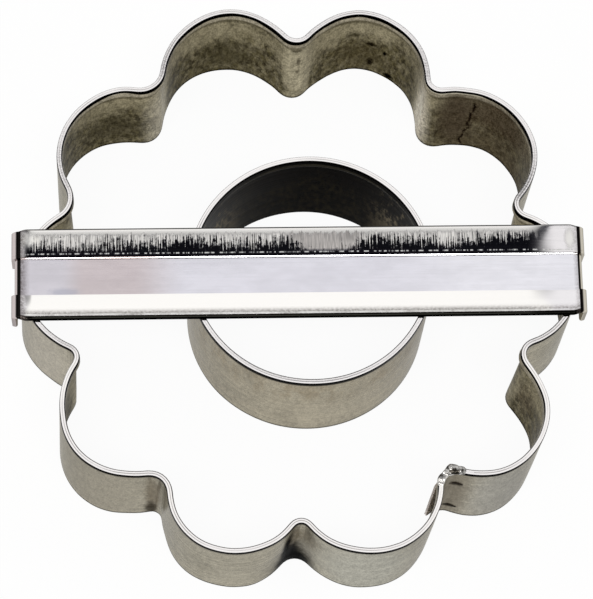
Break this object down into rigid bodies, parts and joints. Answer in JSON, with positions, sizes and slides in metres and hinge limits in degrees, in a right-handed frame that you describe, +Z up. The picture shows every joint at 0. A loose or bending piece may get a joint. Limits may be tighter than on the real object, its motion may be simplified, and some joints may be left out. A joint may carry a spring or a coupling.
{
  "type": "cookie cutter",
  "caption": "Scalloped flower-shaped cookie cutter of tinned steel strip with a round inner cutting ring and a flat strap handle across the top.",
  "frame": {"origin": "middle of the flower, in the plane of the cutting edges", "axes": "+X along the strap handle to the right in the picture, +Y away from the viewer, +Z up from the cutting edges to the handle"},
  "size_m": [0.0888, 0.089, 0.0261],
  "materials": {
    "tinplate_band": "tinned, dull with faint lengthwise streaks and stains",
    "tinplate_ring": "tinned, dull with faint lengthwise streaks",
    "tinplate_strap": "tinned, bright, scuffed across the rear fold",
    "solder": "tin solder, lumpy and dull",
    "weld": "spot weld, dark and slightly sunken"
  },
  "bodies": {
    "root": {"outer_band": "tinplate_band", "inner_ring": "tinplate_ring", "handle_strap": "tinplate_strap", "band_seam_solder": "solder", "band_weld_upper": "weld", "band_weld_lower": "weld", "ring_weld_upper": "weld", "ring_weld_lower": "weld", "tab_solder_left": "solder", "tab_solder_right": "solder", "ring_solder_left": "solder", "ring_solder_right": "solder"}
  },
  "joints": []
}
